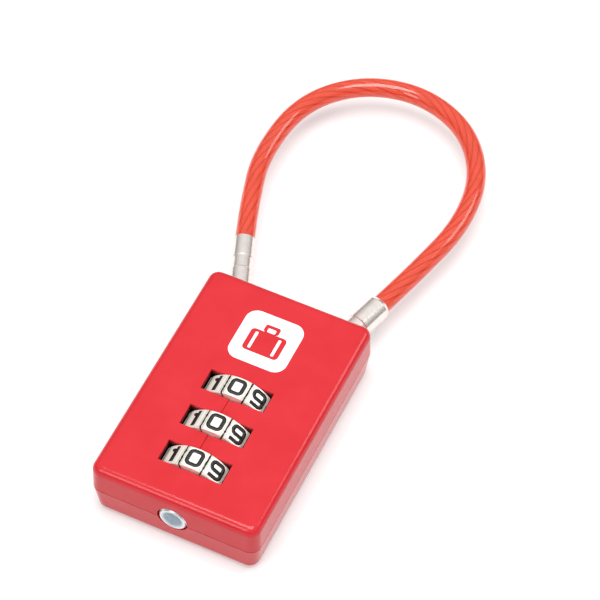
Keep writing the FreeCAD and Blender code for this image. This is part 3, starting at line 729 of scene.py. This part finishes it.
def rounded_outline(curve, centre, width, height, radius, steps=8):
    """Adds a closed rounded rectangle to a curve."""
    corners = []
    for turn, (sx, sy) in enumerate([(1, 1), (-1, 1), (-1, -1), (1, -1)]):
        cx = centre[0] + sx * (width / 2 - radius)
        cy = centre[1] + sy * (height / 2 - radius)
        for step in range(steps + 1):
            angle = math.radians(90 * turn + 90 * step / steps)
            corners.append((cx + radius * math.cos(angle), cy + radius * math.sin(angle)))
    spline = curve.splines.new("POLY")
    spline.points.add(len(corners) - 1)
    for point, (x, y) in zip(spline.points, corners):
        point.co = (x, y, 0, 1)
    spline.use_cyclic_u = True


def printed_emblem(ink):
    s = emblem_size
    curve = bpy.data.curves.new("emblem", "CURVE")
    curve.dimensions = "2D"
    curve.fill_mode = "BOTH"
    curve.extrude = ink_thickness / 2
    rounded_outline(curve, (0, 0), s, s, 0.2 * s)
    rounded_outline(curve, (0, -0.06 * s), 0.62 * s, 0.44 * s, 0.07 * s)
    rounded_outline(curve, (0, 0.235 * s), 0.26 * s, 0.15 * s, 0.04 * s)
    rounded_outline(curve, (0, 0.21 * s), 0.14 * s, 0.08 * s, 0.02 * s)
    for side in (-1, 1):
        rounded_outline(curve, (side * 0.2 * s, -0.06 * s), 0.05 * s, 0.34 * s, 0.02 * s)
    holder = bpy.data.objects.new("emblem", curve)
    scene.collection.objects.link(holder)
    bpy.context.view_layer.update()
    evaluated = holder.evaluated_get(bpy.context.evaluated_depsgraph_get())
    mesh = bpy.data.meshes.new_from_object(evaluated)
    bpy.data.objects.remove(holder)
    place = (emblem_middle.x, emblem_middle.y, face_height + ink_thickness / 2)
    mesh.transform(Matrix.Translation(place))
    mesh.materials.clear()
    mesh.materials.append(ink)
    piece = bpy.data.objects.new("printed_emblem", mesh)
    scene.collection.objects.link(piece)
    return piece


def white_ink():
    material, tree, shader = new_material("white_ink")
    point = object_point(tree)
    mottle = noise(tree, point, 2.0, 4.0)
    tint = blend_colours(tree, mottle, colour(250, 248, 250), colour(240, 238, 242))
    tree.links.new(tint, shader.inputs["Base Color"])
    tree.links.new(spread(tree, mottle, 0.4, 0.55), shader.inputs["Roughness"])
    bump(tree, shader, mottle, 0.1, 0.01)
    return material


emblem = printed_emblem(white_ink())
print("emblem faces", len(emblem.data.polygons))

# %% [markdown]
# ## Dress the CAD pieces
# A CAD piece whose shape is right keeps it and only changes its material.

# %% Materials on the CAD pieces
finishes = {
    "rear_shell": enamel,
    "front_shell": enamel,
    "shell_screws": turned_steel,
    "spindle": turned_steel,
    "release_button": bright_zinc,
    "retaining_clip": spring_steel,
    "spindle_spring": spring_steel,
    "guide_plate": turned_steel,
    "latch_plate": turned_steel,
    "latch_spring": spring_steel,
    "release_ferrule": ferrule_nickel,
    "fixed_ferrule": ferrule_nickel,
    "ejector": turned_steel,
    "ejector_spring": spring_steel,
    "detent_comb": bronze,
}
for name in dial_names:
    finishes[name] = nickel
    finishes[name.replace("dial", "code_sleeve")] = brass
for name, finish in finishes.items():
    piece = nodes[name]
    piece.data.materials.clear()
    piece.data.materials.append(finish)
print("dressed", len(finishes), "CAD pieces")

# %% [markdown]
# ## What moves with what
# The figures turn with their dials and the print stays on the casing. The cable is held
# by the casing at one end and by the release ferrule at the other. Its sheath and strand
# stay where they are made, in place of the CAD model's cable pieces, which are hidden.

# %% Riding
for number, piece in enumerate(dial_figures, start=1):
    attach(piece, "dial_body_%d" % number)
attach(emblem, "casing")

for piece, node in ((sheath, "cable_sheath"), (core, "cable_core")):
    for polygon in piece.data.polygons:
        polygon.use_smooth = True
    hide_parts(node)
    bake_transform(piece)

# %% [markdown]
# ## The studio
# White paper, a broad soft light above, two weaker ones whose reflections run along the
# front edges, and a bright even surround. The paper comes out white and keeps only a faint shadow.


# %% Studio
def white_paper():
    material, tree, shader = new_material("white_paper")
    point = object_point(tree)
    fibre = noise(tree, point, 0.4, 5.0)
    tint = blend_colours(tree, fibre, colour(210, 210, 210), colour(206, 206, 206))
    tree.links.new(tint, shader.inputs["Base Color"])
    shader.inputs["Emission Color"].default_value = (1, 1, 1, 1)
    shader.inputs["Emission Strength"].default_value = 0.33
    shader.inputs["Roughness"].default_value = 0.9
    shader.inputs["Specular IOR Level"].default_value = 0.1
    return material


def soft_light(name, place, size, power):
    data = bpy.data.lights.new(name, "AREA")
    data.shape = "DISK"
    data.size = size
    data.energy = power
    light = bpy.data.objects.new(name, data)
    scene.collection.objects.link(light)
    light.location = place
    light.rotation_mode = "QUATERNION"
    light.rotation_quaternion = (aim - Vector(place)).to_track_quat("-Z", "Y")
    return light


floor_mesh = bpy.data.meshes.new("paper")
reach = 1.5
corners = [(-reach, -reach, 0), (reach, -reach, 0), (reach, reach, 0), (-reach, reach, 0)]
floor_mesh.from_pydata(corners, [], [(0, 1, 2, 3)])
floor_mesh.materials.append(white_paper())
paper = bpy.data.objects.new("paper", floor_mesh)
paper.location.z = -0.02 * MM
scene.collection.objects.link(paper)

soft_light("overhead_light", (0.02, -0.03, 0.78), 0.5, 4.7)
soft_light("front_light", (-0.15, -0.42, 0.37), 0.22, 0.56)
soft_light("back_light", (0.36, 0.38, 0.36), 0.25, 0.62)


def surround():
    """A white room whose walls are darker near the floor, so polished metal shows bands."""
    world = bpy.data.worlds.new("surround")
    world.use_nodes = True
    tree = world.node_tree
    facing = tree.nodes.new("ShaderNodeTexCoord")
    height = add_node(tree, "ShaderNodeSeparateXYZ", Vector=facing.outputs["Generated"])
    background = tree.nodes["Background"]
    background.inputs["Color"].default_value = (1, 1, 1, 1)
    strength = spread(tree, height.outputs[2], 0.1, 0.78, 0.15, 0.8)
    tree.links.new(strength, background.inputs["Strength"])
    return world


scene.world = surround()
scene.view_settings.view_transform = "Standard"
